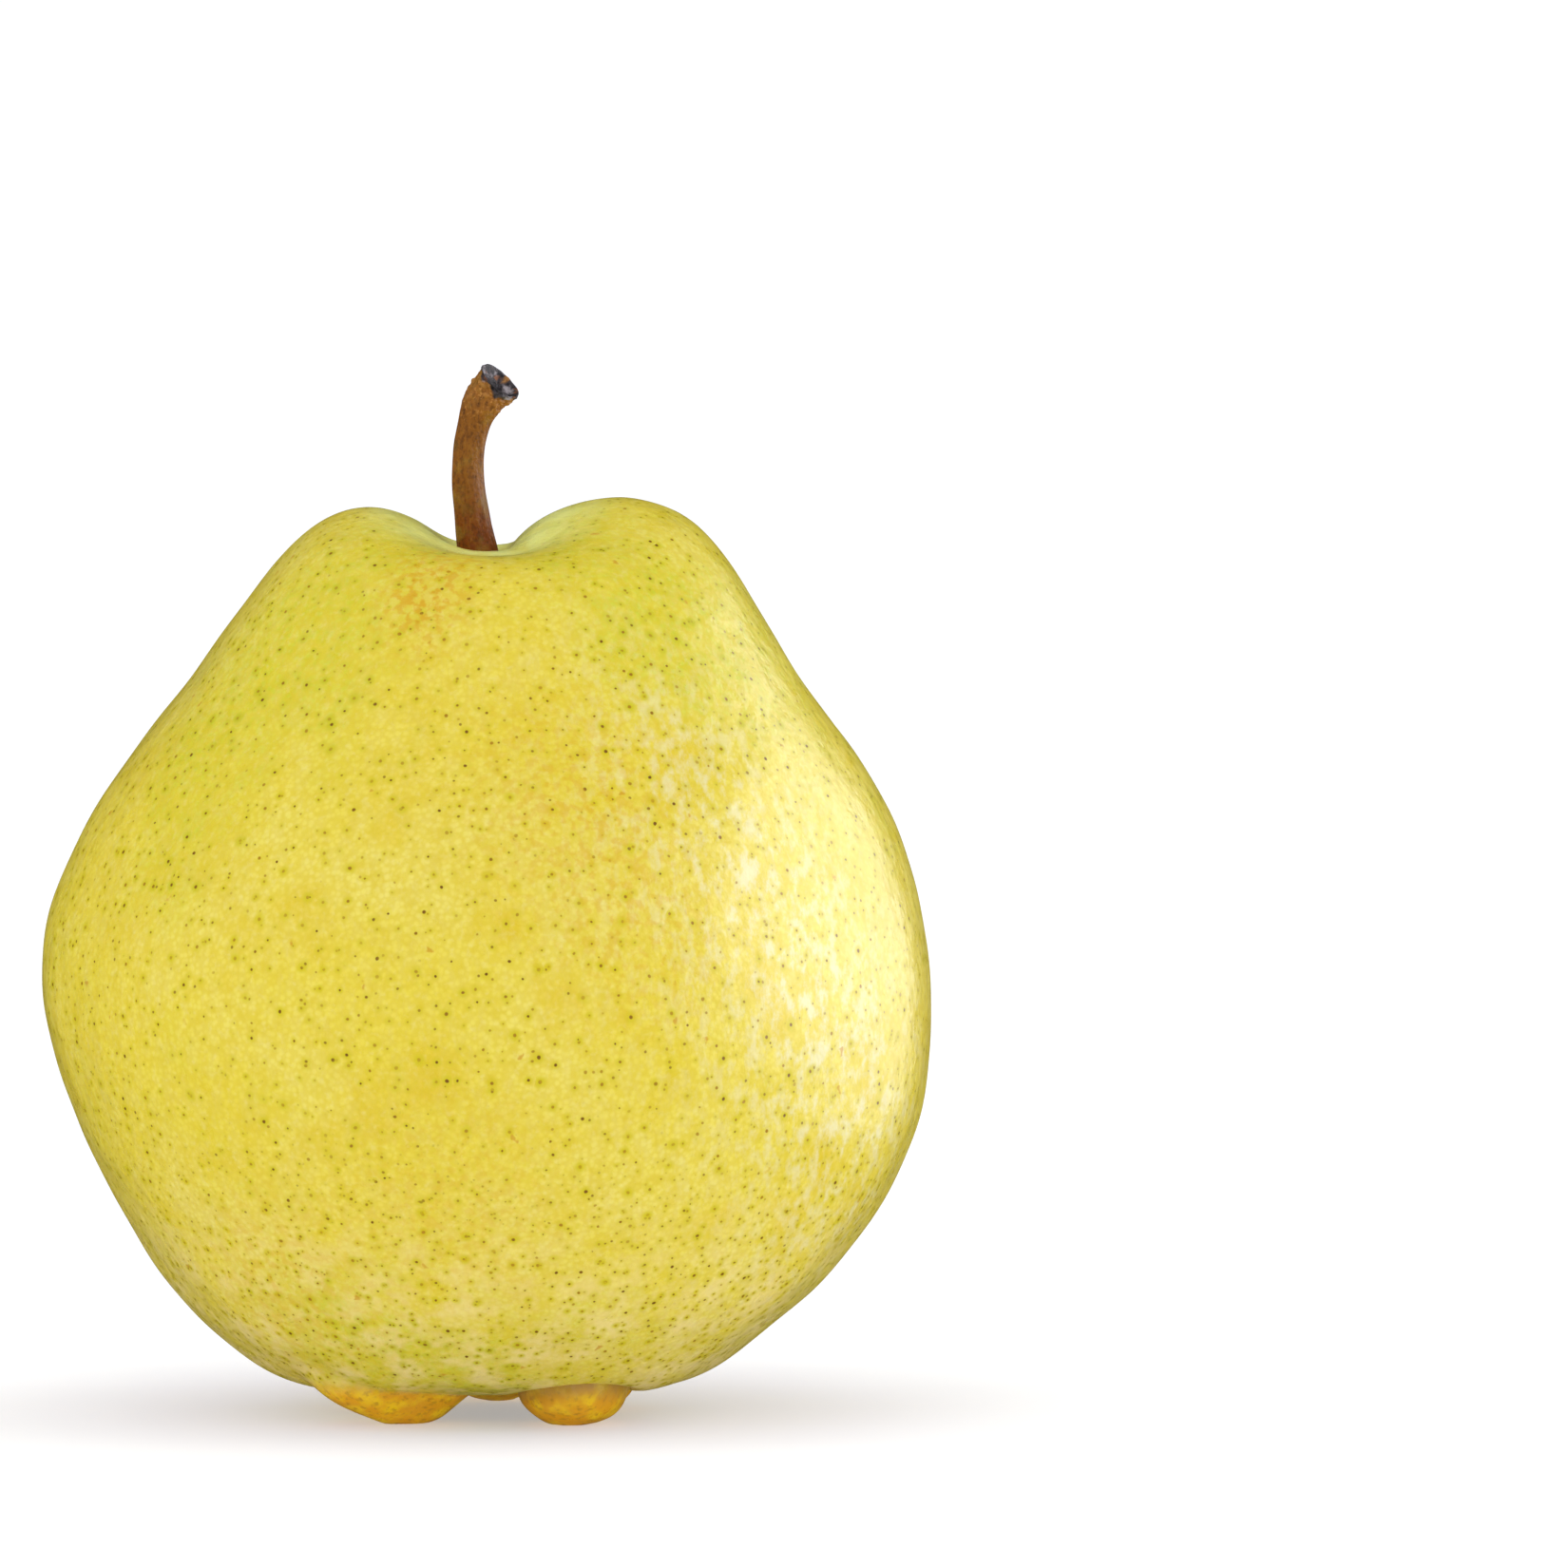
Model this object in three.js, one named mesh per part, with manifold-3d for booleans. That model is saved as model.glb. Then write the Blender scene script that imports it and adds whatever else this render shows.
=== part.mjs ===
// A pear standing on the five knobs round its calyx: the fruit, its stem and the dried parts of its flower.
// Millimetres, +Z up, x to the right, y to the back. The origin is on the ground, under the fruit's middle.
import * as THREE from "three";
import { ParametricGeometry } from "three/addons/geometries/ParametricGeometry.js";
import { mergeVertices } from "three/addons/utils/BufferGeometryUtils.js";
import Module from "manifold-3d";

// ---------------------------------------------------------------- driving dimensions

const body = { width: 80, depth: 77, height: 82.1 };
// The two shoulders stand left and right of the stem. The rim between them is lower, more so at the back.
const shoulder = { radius: 11.5, frontDrop: 4, backDrop: 4.8, rightRise: 0.9 };
// The hollow round the stem, measured down from the top of the shoulders. Its right side is pinched in.
const hollow = { radius: 2.6, depth: 5.5, pinch: 0.42 };
// The basin in the underside, measured up from the ground, its rim between the knobs, and its eye.
const basin = { radius: 7.6, depth: 6.4, rimHeight: 2.9, sideSag: 0.6, offset: 0.8 };
// The fleshy knobs that the fruit stands on. Each is pressed flat where it would reach below the ground.
const knob = { count: 5, ring: 11.5, reach: 5, pressed: 0.25, turn: 0.1 * Math.PI };
// Each knob's turn round the basin and the way it runs out, in degrees, then its ring, reach and reach
// outwards as shares of the knobs' ring and reach. A low power gives it steep sides.
const knobShapes = [
  { turn: 18, runs: 18, ring: 0.81, reach: 0.76, outward: 0.78, power: 0.75 },
  { turn: 90, runs: 90, ring: 0.99, reach: 1, outward: 1.3, power: 0.75 },
  { turn: 162, runs: 162, ring: 0.89, reach: 0.86, outward: 0.92, power: 0.75 },
  { turn: 233, runs: 213, ring: 0.98, reach: 1.06, outward: 2.3, power: 1.6 },
  { turn: 306, runs: 268, ring: 1.03, reach: 1, outward: 1.36, power: 0.65 },
];
const stem = { baseRadius: 1.8, waistRadius: 1.4, headRadius: 2.05, seatDepth: 4.5, scarDepth: 0.35 };
const sepal = { length: 3.1, width: 2.2, thickness: 0.5, rootRadius: 3.1, lean: 0.9 };
const tuft = { radius: 1.1, length: 2.3, ribs: 9, ribDepth: 0.16 };
const clearance = 0.3;

// How finely each surface is divided: columns go round it, rows go along it.
const fruitMesh = { columns: 64, rowsPerSpan: 2 };
const stemMesh = { columns: 14, rows: 26 };
const seatMesh = { columns: 28, rows: 12 };
const sepalMesh = { columns: 10, rows: 10 };
const tuftMesh = { columns: 36, rows: 10 };

// ---------------------------------------------------------------- the fruit's outline

// One side of the fruit, from the basin's eye to the stem's seat, as [radius, height, lean to the right].
// The flank's numbers are shares of half the width and of the height. The ends have sizes of their own.
const flank = [
  [0.515, 0.053, 0.008],
  [0.622, 0.09, 0.008],
  [0.733, 0.141, 0.02],
  [0.84, 0.216, 0.034],
  [0.936, 0.305, 0.029],
  [0.995, 0.42, 0.009],
  [0.99, 0.524, 0],
  [0.926, 0.625, 0.012],
  [0.826, 0.714, 0.021],
  [0.7, 0.797, 0.026],
  [0.592, 0.877, 0.03],
  [0.502, 0.94, 0.034],
  [0.41, 0.982, 0.031],
].map(([r, z, lean]) => [(r * body.width) / 2, z * body.height, (lean * body.width) / 2]);

const topLean = 0.9;
const seatHeight = body.height - hollow.depth;
const outline = [
  [0, basin.depth, basin.offset],
  [0.34 * basin.radius, 0.97 * basin.depth, basin.offset],
  [0.7 * basin.radius, 0.76 * basin.depth, basin.offset],
  [basin.radius, (basin.rimHeight + 0.25 * basin.depth) / 1.3, basin.offset],
  [0.87 * knob.ring, basin.rimHeight, basin.offset],
  [1.11 * knob.ring, 0.97 * basin.rimHeight, basin.offset],
  [1.42 * knob.ring, 1.15 * basin.rimHeight, basin.offset],
  ...flank,
  [shoulder.radius, body.height, topLean],
  [0.5 * (shoulder.radius + 1.4 * hollow.radius), body.height - 0.2 * hollow.depth, topLean],
  [1.75 * hollow.radius, seatHeight + 0.42 * hollow.depth, 0.5 * topLean],
  [hollow.radius, seatHeight + 0.1 * hollow.depth, 0],
  [0, seatHeight, 0],
];
const radiusAndHeight = new THREE.SplineCurve(outline.map(([r, z]) => new THREE.Vector2(r, z)));
const leanCurve = new THREE.SplineCurve(outline.map(([, , lean], i) => new THREE.Vector2(i, lean)));

function direction(degrees) {
  const angle = THREE.MathUtils.degToRad(degrees);
  return new THREE.Vector2(Math.cos(angle), Math.sin(angle));
}

// The share of a knob's height at a point of the underside, given from the middle of the basin.
function knobShare(x, y) {
  const shares = knobShapes.map((shape) => {
    const from = new THREE.Vector2(x, y).addScaledVector(direction(shape.turn), -shape.ring * knob.ring);
    const outward = from.dot(direction(shape.runs));
    const across = from.cross(direction(shape.runs));
    const length = outward > 0 ? shape.outward : shape.reach;
    const away = Math.hypot(across / shape.reach, outward / length) / knob.reach;
    return Math.max(0, 1 - away ** 2) ** shape.power;
  });
  return Math.max(...shares);
}

// How far the underside outside the knobs sags to the left and the right.
function sideSag(turn, r) {
  const past = THREE.MathUtils.smoothstep(r, 0.8 * knob.ring, 1.3 * knob.ring);
  const before = 1 - THREE.MathUtils.smoothstep(r, 1.4 * knob.ring, 2.1 * knob.ring);
  return basin.sideSag * Math.cos(turn) ** 2 * past * before;
}

// How far the shoulders' rim sinks towards the front and the back.
function rimDrop(turn, r, z) {
  const away = 1 - Math.abs(Math.cos(turn)) ** 2.4;
  const drop = Math.sin(turn) < 0 ? shoulder.frontDrop : shoulder.backDrop;
  const high = Math.max(0, (z / body.height - 0.76) / 0.24) ** 2;
  const wide = THREE.MathUtils.smoothstep(r, 0.6 * hollow.radius, 0.8 * shoulder.radius);
  return (drop * away - 0.5 * shoulder.rightRise * Math.cos(turn)) * high * wide;
}

// How much the right side of the hollow is pinched towards the stem.
function hollowPinch(turn, r) {
  const past = THREE.MathUtils.smoothstep(r, 0.8 * hollow.radius, 1.5 * hollow.radius);
  const before = 1 - THREE.MathUtils.smoothstep(r, 1.5 * hollow.radius, shoulder.radius);
  return hollow.pinch * Math.max(0, Math.cos(turn)) * past * before;
}

// A point of the skin: u goes round the fruit once, v goes from the basin's eye to the stem's seat.
function skin(u, v, target) {
  const turn = 2 * Math.PI * u;
  const { x: radius, y: height } = radiusAndHeight.getPoint(v);
  const r = Math.max(0, radius);
  const lean = leanCurve.getPoint(v).y;
  const flat = THREE.MathUtils.smoothstep(r, knob.ring, 0.4 * body.width);
  let x = r * Math.cos(turn);
  const y = r * Math.sin(turn) * THREE.MathUtils.lerp(1, body.depth / body.width, flat);
  let z = height - rimDrop(turn, r, height);
  if (v > 0.5) {
    x *= 1 - hollowPinch(turn, r);
  } else {
    z -= sideSag(turn, r);
    z = Math.max(0, THREE.MathUtils.lerp(z, -knob.pressed, knobShare(x, y)));
  }
  target.set(x + lean, y, z);
}

// ---------------------------------------------------------------- solids

const wasm = await Module();
wasm.setup();

// A closed body from pointAt(u, v): u goes round it, and both ends of v shrink to a point.
function closedBody(pointAt, { columns, rows }) {
  const geometry = new ParametricGeometry(pointAt, columns, rows);
  geometry.deleteAttribute("normal");
  geometry.deleteAttribute("uv");
  return mergeVertices(geometry, 1e-4);
}

function toSolid(geometry) {
  return new wasm.Manifold(
    new wasm.Mesh({
      numProp: 3,
      vertProperties: geometry.attributes.position.array,
      triVerts: new Uint32Array(geometry.index.array),
    }),
  );
}

function toGeometry(solid) {
  const { vertProperties, triVerts } = solid.getMesh();
  const geometry = new THREE.BufferGeometry();
  geometry.setAttribute("position", new THREE.BufferAttribute(vertProperties, 3));
  geometry.setIndex(new THREE.BufferAttribute(triVerts, 1));
  geometry.computeVertexNormals();
  return geometry;
}

// A rod along a curve in the xz plane, closed at both ends. radiusAt(t) is its radius at t from 0 to 1,
// and the far end is dished by scarDepth. capShare is the share of v that each end takes.
function rod(path, radiusAt, scarDepth, mesh) {
  const capShare = 0.1;
  return closedBody((u, v, target) => {
    const t = THREE.MathUtils.clamp((v - capShare) / (1 - 2 * capShare), 0, 1);
    const fill = Math.min(1, v / capShare, (1 - v) / capShare);
    const tangent = path.getTangent(t);
    const side = new THREE.Vector3(tangent.z, 0, -tangent.x);
    const turn = 2 * Math.PI * u;
    const dish = v > 1 - capShare ? scarDepth * (1 - fill ** 2) : 0;
    target.copy(path.getPoint(t));
    target.addScaledVector(side, radiusAt(t) * fill * Math.cos(turn));
    target.addScaledVector(new THREE.Vector3(0, 1, 0), radiusAt(t) * fill * Math.sin(turn));
    target.addScaledVector(tangent, -dish);
  }, mesh);
}

// ---------------------------------------------------------------- the stem

// The stem leans left out of its seat, straightens, and hooks to the right at its swollen head.
const stemPath = new THREE.CatmullRomCurve3(
  [
    [0.5, -stem.seatDepth],
    [0.15, -stem.seatDepth / 2],
    [-0.6, 0.8],
    [-1.1, 3.8],
    [-1.55, 7.2],
    [-1.45, 10.2],
    [-0.8, 13],
    [0.15, 15],
    [1.35, 16.25],
  ].map(([x, z]) => new THREE.Vector3(x, 0, seatHeight + z)),
  false,
  "centripetal",
);

function stemRadius(t) {
  const taper = THREE.MathUtils.smoothstep(t, 0.2, 0.6);
  const swell = THREE.MathUtils.smoothstep(t, 0.68, 0.97);
  const shaft = THREE.MathUtils.lerp(stem.baseRadius, stem.waistRadius, taper);
  return THREE.MathUtils.lerp(shaft, stem.headRadius, swell);
}

const stemBody = rod(stemPath, stemRadius, stem.scarDepth, stemMesh);

// The seat follows the foot of the stem, with the clearance all round it and under it.
function seatBody() {
  const share = 0.4;
  const path = {
    getTangent: (t) => stemPath.getTangent(share * t),
    getPoint(t) {
      const below = -clearance * (1 - t);
      return stemPath.getPoint(share * t).addScaledVector(this.getTangent(t), below);
    },
  };
  return rod(path, () => stem.baseRadius + clearance, 0, seatMesh);
}

const fruitBody = toGeometry(
  toSolid(
    closedBody(skin, {
      columns: fruitMesh.columns,
      rows: fruitMesh.rowsPerSpan * (outline.length - 1),
    }),
  ).subtract(toSolid(seatBody())),
);

// ---------------------------------------------------------------- the dried flower in the basin

// The height of the basin's skin over a point at radius r from its middle.
function basinCeiling(r) {
  let best = outline[0][1];
  for (let v = 0; v < 0.2; v += 0.001) {
    const { x, y } = radiusAndHeight.getPoint(v);
    if (x <= r) best = y;
  }
  return best;
}

// A sepal hangs from the basin's skin, cupped, widest near its root and pointed at its tip.
function sepalBody() {
  const top = basinCeiling(sepal.rootRadius + sepal.thickness) - clearance;
  return closedBody((u, v, target) => {
    const turn = 2 * Math.PI * u;
    const along = 0.5 - 0.5 * Math.cos(Math.PI * v);
    const spread = Math.sin(Math.PI * v ** 0.8) ** 0.6;
    const across = 0.5 * sepal.width * spread * Math.cos(turn);
    const through = 0.5 * sepal.thickness * Math.min(1, 2 * spread) * Math.sin(turn);
    const cup = across ** 2 / (2 * sepal.rootRadius);
    const inward = sepal.lean * along ** 2;
    target.set(sepal.rootRadius - inward - cup + through, across, top - sepal.length * along);
  }, sepalMesh);
}

// The withered stamens are one ribbed tuft that hangs in the eye of the basin.
function tuftBody() {
  const top = basinCeiling(tuft.radius) - clearance;
  return closedBody((u, v, target) => {
    const turn = 2 * Math.PI * u;
    const ribbed = 1 + tuft.ribDepth * Math.cos(tuft.ribs * turn) * Math.sin(Math.PI * v);
    const r = tuft.radius * ribbed * Math.sin(Math.PI * v) ** 0.6;
    target.set(r * Math.cos(turn), -r * Math.sin(turn), top - tuft.length * v);
  }, tuftMesh);
}

// ---------------------------------------------------------------- the assembled pear

const skinYellow = new THREE.MeshStandardMaterial({ color: 0xe3cd52, roughness: 0.42, metalness: 0 });
const stemBrown = new THREE.MeshStandardMaterial({ color: 0x6b3a1c, roughness: 0.7, metalness: 0 });
const driedBrown = new THREE.MeshStandardMaterial({ color: 0x3a2415, roughness: 0.9, metalness: 0 });

const pear = new THREE.Group();

function addPiece(name, geometry, material, parent = pear) {
  const piece = new THREE.Mesh(geometry, material);
  piece.name = name;
  parent.add(piece);
  return piece;
}

addPiece("fruit", fruitBody, skinYellow);
addPiece("stem", stemBody, stemBrown);

const flower = new THREE.Group();
flower.position.x = basin.offset;
pear.add(flower);
addPiece("stamen_tuft", tuftBody(), driedBrown, flower);
for (let i = 0; i < knob.count; i += 1) {
  const piece = addPiece(`sepal_${i + 1}`, sepalBody(), driedBrown, flower);
  piece.rotation.z = knob.turn + (2 * Math.PI * (i + 0.5)) / knob.count;
}

// The ground point under the middle of the pear's box is the origin.
pear.updateMatrixWorld(true);
const middle = new THREE.Box3().setFromObject(pear).getCenter(new THREE.Vector3());
pear.position.set(-middle.x, -middle.y, 0);

export default pear;
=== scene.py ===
"""A ripe yellow pear that stands on the knobs round its calyx, on a white studio floor.

Blender's lengths are metres. The pear's own sizes are written in millimetres, in the frame of
the CAD part before it was centred, and MM turns them into metres.
"""

import math

import bpy
import numpy as np
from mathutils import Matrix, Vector


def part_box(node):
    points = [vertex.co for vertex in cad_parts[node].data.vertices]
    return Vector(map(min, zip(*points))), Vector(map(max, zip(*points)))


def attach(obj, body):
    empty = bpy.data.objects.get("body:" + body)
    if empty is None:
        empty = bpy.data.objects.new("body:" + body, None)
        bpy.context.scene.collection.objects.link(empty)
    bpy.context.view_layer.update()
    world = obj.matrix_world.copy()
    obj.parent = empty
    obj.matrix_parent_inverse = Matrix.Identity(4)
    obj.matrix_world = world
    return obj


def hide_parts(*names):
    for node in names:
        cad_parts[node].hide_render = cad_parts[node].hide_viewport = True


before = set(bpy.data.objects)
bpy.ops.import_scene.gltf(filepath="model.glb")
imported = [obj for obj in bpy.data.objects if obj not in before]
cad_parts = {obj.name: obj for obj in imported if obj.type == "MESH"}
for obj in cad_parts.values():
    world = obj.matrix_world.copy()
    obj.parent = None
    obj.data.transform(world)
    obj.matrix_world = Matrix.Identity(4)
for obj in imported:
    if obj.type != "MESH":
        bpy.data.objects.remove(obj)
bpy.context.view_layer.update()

MM = 0.001

# ---------------------------------------------------------------- the pear's sizes, in millimetres

fruit_low, fruit_high = (np.array(corner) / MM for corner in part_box("fruit"))
BODY_WIDTH, BODY_DEPTH = (fruit_high - fruit_low)[:2]
BODY_HEIGHT = 82.1
SHOULDER_RADIUS, FRONT_DROP, BACK_DROP, RIGHT_RISE = 11.5, 4.0, 4.8, 0.9
HOLLOW_RADIUS, HOLLOW_DEPTH, HOLLOW_PINCH = 2.6, 5.5, 0.42
BASIN_RADIUS, BASIN_DEPTH, RIM_HEIGHT, SIDE_SAG, BASIN_OFFSET = 7.6, 6.4, 2.9, 0.6, 0.8
SEAT_HEIGHT = BODY_HEIGHT - HOLLOW_DEPTH
TOP_LEAN = 0.9

# Each knob: its direction in degrees, its distance from the middle of the basin, its reach
# sideways and inwards, its reach outwards up the body, the direction in degrees in which it runs
# out, the power that shapes its sides, which is low for a steep side, and how sharply a fold sets
# it off from the body.
KNOB_RING, KNOB_PRESSED, KNOB_COUNT = 11.5, 0.1, 5
KNOBS = [
    (18, 9.3, 3.8, 3.9, 18, 0.75, 0.6),
    (90, 11.4, 5.0, 6.5, 90, 0.7, 0.8),
    (162, 10.2, 4.3, 4.6, 162, 0.75, 0.6),
    (233, 11.3, 5.3, 11.5, 213, 1.6, 0.12),
    (306, 11.9, 5.0, 6.8, 268, 0.6, 1.0),
]
FIRST_KNOB = math.radians(18)
FOLD_HEIGHT, RIB_HEIGHT = 0.75, 0.3
UNDERSIDE_HEIGHT = 9.0
SWELL_HEIGHT, DIMPLE_HEIGHT, KNOB_LUMP_HEIGHT = 0.22, 0.05, 0.1

# The outline of one side, as [radius, height, lean to the right]: the flank as shares of the
# body, then the whole line from the basin's eye to the stem's seat.
FLANK = np.array(
    [
        [0.515, 0.053, 0.008],
        [0.622, 0.09, 0.008],
        [0.733, 0.141, 0.02],
        [0.84, 0.216, 0.034],
        [0.936, 0.305, 0.029],
        [0.995, 0.42, 0.009],
        [0.99, 0.524, 0],
        [0.926, 0.625, 0.012],
        [0.826, 0.714, 0.021],
        [0.7, 0.797, 0.026],
        [0.592, 0.877, 0.03],
        [0.502, 0.94, 0.034],
        [0.41, 0.982, 0.031],
    ]
) * [BODY_WIDTH / 2, BODY_HEIGHT, BODY_WIDTH / 2]

OUTLINE = np.vstack(
    [
        [0, BASIN_DEPTH, BASIN_OFFSET],
        [0.34 * BASIN_RADIUS, 0.97 * BASIN_DEPTH, BASIN_OFFSET],
        [0.7 * BASIN_RADIUS, 0.76 * BASIN_DEPTH, BASIN_OFFSET],
        [BASIN_RADIUS, (RIM_HEIGHT + 0.25 * BASIN_DEPTH) / 1.3, BASIN_OFFSET],
        [0.87 * KNOB_RING, RIM_HEIGHT, BASIN_OFFSET],
        [1.11 * KNOB_RING, 0.97 * RIM_HEIGHT, BASIN_OFFSET],
        [1.42 * KNOB_RING, 1.15 * RIM_HEIGHT, BASIN_OFFSET],
        *FLANK,
        [SHOULDER_RADIUS, BODY_HEIGHT, TOP_LEAN],
        [
            0.5 * (SHOULDER_RADIUS + 1.4 * HOLLOW_RADIUS),
            BODY_HEIGHT - 0.2 * HOLLOW_DEPTH,
            TOP_LEAN,
        ],
        [1.75 * HOLLOW_RADIUS, SEAT_HEIGHT + 0.42 * HOLLOW_DEPTH, 0.5 * TOP_LEAN],
        [HOLLOW_RADIUS, SEAT_HEIGHT + 0.1 * HOLLOW_DEPTH, 0],
        [0, SEAT_HEIGHT, 0],
    ]
)

STEM_BASE_RADIUS, STEM_WAIST_RADIUS, STEM_HEAD_RADIUS = 1.8, 1.4, 2.05
STEM_PATH = np.array(
    [
        [0.5, -4.5],
        [0.15, -2.25],
        [-0.6, 0.8],
        [-1.1, 3.8],
        [-1.55, 7.2],
        [-1.45, 10.2],
        [-0.8, 13],
        [0.15, 15],
        [1.35, 16.25],
    ]
) + [0, SEAT_HEIGHT]

SEPAL_COUNT = 5
SEPAL_LENGTH, SEPAL_WIDTH, SEPAL_THICKNESS, SEPAL_ROOT = 3.1, 2.2, 0.42, 3.1
TUFT_RADIUS, TUFT_LENGTH, TUFT_THREADS = 1.1, 2.3, 22

FRUIT_COLUMNS, FRUIT_ROWS = 320, 300
STEM_COLUMNS, STEM_ROWS = 72, 220
SEPAL_COLUMNS, SEPAL_ROWS = 24, 28
THREAD_COLUMNS, THREAD_ROWS = 6, 9

# ---------------------------------------------------------------- helpers


def spline(points, t):
    """Points of the uniform Catmull-Rom curve through points, at each t from 0 to 1."""
    points, t = np.asarray(points, float), np.asarray(t, float)
    last = len(points) - 1
    place = np.clip(t, 0, 1) * last
    i = np.minimum(place.astype(int), last - 1)
    w = (place - i)[:, None]
    p0, p1 = points[np.maximum(i - 1, 0)], points[i]
    p2, p3 = points[i + 1], points[np.minimum(i + 2, last)]
    v0, v1 = (p2 - p0) / 2, (p3 - p1) / 2
    cubic, square = 2 * p1 - 2 * p2 + v0 + v1, 3 * p2 - 3 * p1 - 2 * v0 - v1
    return cubic * w**3 + square * w**2 + v0 * w + p1


def smoothstep(x, low, high):
    s = np.clip((x - low) / (high - low), 0, 1)
    return s * s * (3 - 2 * s)


def lerp(a, b, share):
    return a + (b - a) * share


def softened(values, reach):
    """Each column of values evened out along the rows, with both ends held."""
    steps = np.arange(-3 * reach, 3 * reach + 1)
    kernel = np.exp(-0.5 * (steps / reach) ** 2)
    kernel /= kernel.sum()
    size = 3 * reach
    before = 2 * values[:1] - values[size:0:-1]
    after = 2 * values[-1:] - values[-2 : -size - 2 : -1]
    padded = np.vstack([before, values, after])
    return np.stack([np.convolve(column, kernel, "valid") for column in padded.T], axis=1)


def waves(places, seed, count, short, long):
    """A smooth random field from -1 to 1 or so: count plane waves, from short to long."""
    rng = np.random.default_rng(seed)
    total = np.zeros(places.shape[:-1])
    for _ in range(count):
        direction = rng.normal(size=3)
        direction /= np.linalg.norm(direction)
        length = rng.uniform(short, long)
        phase = rng.uniform(0, 2 * math.pi)
        total += np.sin(places @ direction * (2 * math.pi / length) + phase)
    return total / math.sqrt(count)


def ring_faces(rings, columns):
    """Faces of a closed body made of rings of points between a first and a last single point."""
    faces = []
    for j in range(columns):
        k = (j + 1) % columns
        faces.append((0, 1 + k, 1 + j))
        for i in range(rings - 1):
            a, b = 1 + i * columns, 1 + (i + 1) * columns
            faces.append((a + j, a + k, b + k, b + j))
        end = 1 + (rings - 1) * columns
        faces.append((end + j, end + k, 1 + rings * columns))
    return faces


def make_mesh(name, points, faces, fields=None):
    """An object from points in millimetres, moved as the CAD part was when it was centred."""
    mesh = bpy.data.meshes.new(name)
    mesh.from_pydata(((points + centring) * MM).tolist(), [], faces)
    for field, values in (fields or {}).items():
        attribute = mesh.attributes.new(field, "FLOAT", "POINT")
        attribute.data.foreach_set("value", np.asarray(values, np.float32))
    mesh.shade_smooth()
    mesh.validate()
    piece = bpy.data.objects.new(name, mesh)
    bpy.context.scene.collection.objects.link(piece)
    return piece


def closed_body(name, grid, fields=None):
    """An object from a grid of points, whose first and last rows each shrink to a point."""
    rows, columns = grid.shape[:2]
    points = np.vstack([grid[:1, 0], grid[1:-1].reshape(-1, 3), grid[-1:, 0]])
    flat = {}
    for field, values in (fields or {}).items():
        flat[field] = np.concatenate([values[:1, 0], values[1:-1].ravel(), values[-1:, 0]])
    return make_mesh(name, points, ring_faces(rows - 2, columns), flat)


# ---------------------------------------------------------------- the fruit


def knob_shape(x, y):
    """For points of the underside: the share of the nearest knob's height, how surely the point
    is on a knob, and how deep it is in the fold round one."""
    share, inside, fold = np.zeros_like(x), np.zeros_like(x), np.zeros_like(x)
    for degrees, ring, reach, outward, runs, power, sharp in KNOBS:
        east = x - ring * math.cos(math.radians(degrees))
        north = y - ring * math.sin(math.radians(degrees))
        c, s = math.cos(math.radians(runs)), math.sin(math.radians(runs))
        out = east * c + north * s
        away = np.hypot((north * c - east * s) / reach, out / np.where(out > 0, outward, reach))
        share = np.maximum(share, np.clip(1 - away**2, 0, 1) ** power)
        inside = np.maximum(inside, 1 - smoothstep(away, 0.94, 1.05))
        fold = np.maximum(fold, sharp * np.exp(-(((away - 1.05) / 0.12) ** 2)))
    return share, inside, fold


def rim_drop(turn, r, z):
    """How far the rim of the hollow sinks in front and behind, between the two shoulders."""
    away = 1 - np.abs(np.cos(turn)) ** 2.4
    drop = np.where(np.sin(turn) < 0, FRONT_DROP, BACK_DROP)
    high = np.maximum(0, (z / BODY_HEIGHT - 0.76) / 0.24) ** 2
    wide = smoothstep(r, 0.6 * HOLLOW_RADIUS, 0.8 * SHOULDER_RADIUS)
    return (drop * away - 0.5 * RIGHT_RISE * np.cos(turn)) * high * wide


def side_sag(turn, r):
    """How far the underside sags on its left and right, just outside the knobs."""
    past = smoothstep(r, 0.8 * KNOB_RING, 1.3 * KNOB_RING)
    before = 1 - smoothstep(r, 1.4 * KNOB_RING, 2.1 * KNOB_RING)
    return SIDE_SAG * np.cos(turn) ** 2 * past * before


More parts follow.
